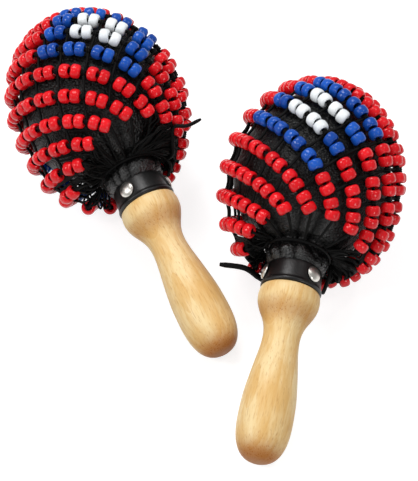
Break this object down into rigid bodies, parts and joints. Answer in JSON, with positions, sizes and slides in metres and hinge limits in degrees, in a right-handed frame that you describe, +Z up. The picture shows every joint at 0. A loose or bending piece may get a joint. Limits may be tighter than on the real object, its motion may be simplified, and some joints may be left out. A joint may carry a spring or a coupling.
{
  "type": "pair of beaded maracas",
  "caption": "Pair of maracas: black rawhide heads in nets of glossy red beads with blue and white diamonds, on turned pale wood handles, for shaking.",
  "frame": {"origin": "middle of the underside of the pair's bounding box, on the table they lie on", "axes": "+Y from the handles towards the heads, +X to the right as seen from the handles, +Z up"},
  "size_m": [0.2494, 0.3021, 0.1166],
  "materials": {
    "maple": "clear lacquer over pale wood",
    "rawhide": "black, satin, gathered at the neck",
    "band": "black, smooth satin",
    "tack_steel": "nickelled, a little dull",
    "cord": "black braided cord",
    "beads": "glossy, with blue and white beads in diamonds",
    "seeds": "dry seed"
  },
  "bodies": {
    "right_maraca": {"right_handle": "maple", "right_neck_band": "band", "right_rawhide_head": "rawhide", "right_tack_1": "tack_steel", "right_tack_2": "tack_steel", "right_tack_3": "tack_steel"},
    "right_bead_net": {"right_bead_string_01": "beads", "right_bead_string_02": "beads", "right_bead_string_03": "beads", "right_bead_string_04": "beads", "right_bead_string_05": "beads", "right_bead_string_06": "beads", "right_bead_string_07": "beads", "right_bead_string_08": "beads", "right_bead_string_09": "beads", "right_bead_string_10": "beads", "right_bead_string_11": "beads", "right_bead_string_12": "beads", "right_bead_string_13": "beads", "right_bead_string_14": "beads", "right_neck_tie": "cord", "right_net_crown_ring": "cord", "right_tie_tail_1": "cord", "right_tie_tail_2": "cord"},
    "right_seeds": {"right_seed_1": "seeds", "right_seed_2": "seeds", "right_seed_3": "seeds", "right_seed_4": "seeds"},
    "left_maraca": {"left_handle": "maple", "left_neck_band": "band", "left_rawhide_head": "rawhide", "left_tack_1": "tack_steel", "left_tack_2": "tack_steel", "left_tack_3": "tack_steel"},
    "left_bead_net": {"left_bead_string_01": "beads", "left_bead_string_02": "beads", "left_bead_string_03": "beads", "left_bead_string_04": "beads", "left_bead_string_05": "beads", "left_bead_string_06": "beads", "left_bead_string_07": "beads", "left_bead_string_08": "beads", "left_bead_string_09": "beads", "left_bead_string_10": "beads", "left_bead_string_11": "beads", "left_bead_string_12": "beads", "left_bead_string_13": "beads", "left_bead_string_14": "beads", "left_neck_tie": "cord", "left_net_crown_ring": "cord", "left_tie_tail_1": "cord", "left_tie_tail_2": "cord"},
    "left_seeds": {"left_seed_1": "seeds", "left_seed_2": "seeds", "left_seed_3": "seeds", "left_seed_4": "seeds"}
  },
  "joints": [
    {"name": "right_net_turn", "type": "hinge", "parent": "right_maraca", "child": "right_bead_net", "pos_m": [0.06725, 0.0219, 0.05845], "axis": [0.1941, 0.9454, 0.2618], "range_deg": [-8, 8]},
    {"name": "right_seed_roll", "type": "hinge", "parent": "right_maraca", "child": "right_seeds", "pos_m": [0.06725, 0.0219, 0.05845], "axis": [0.1941, 0.9454, 0.2618], "range_deg": [-75, 75]},
    {"name": "left_lift", "type": "slide", "parent": "right_maraca", "child": "left_maraca", "axis": [0, 0, 1], "range_m": [0, 0.15]},
    {"name": "left_net_turn", "type": "hinge", "parent": "left_maraca", "child": "left_bead_net", "pos_m": [-0.06475, 0.0855, 0.05826], "axis": [-0.4308, 0.864, 0.2607], "range_deg": [-8, 8]},
    {"name": "left_seed_roll", "type": "hinge", "parent": "left_maraca", "child": "left_seeds", "pos_m": [-0.06475, 0.0855, 0.05826], "axis": [-0.4308, 0.864, 0.2607], "range_deg": [-75, 75]}
  ]
}
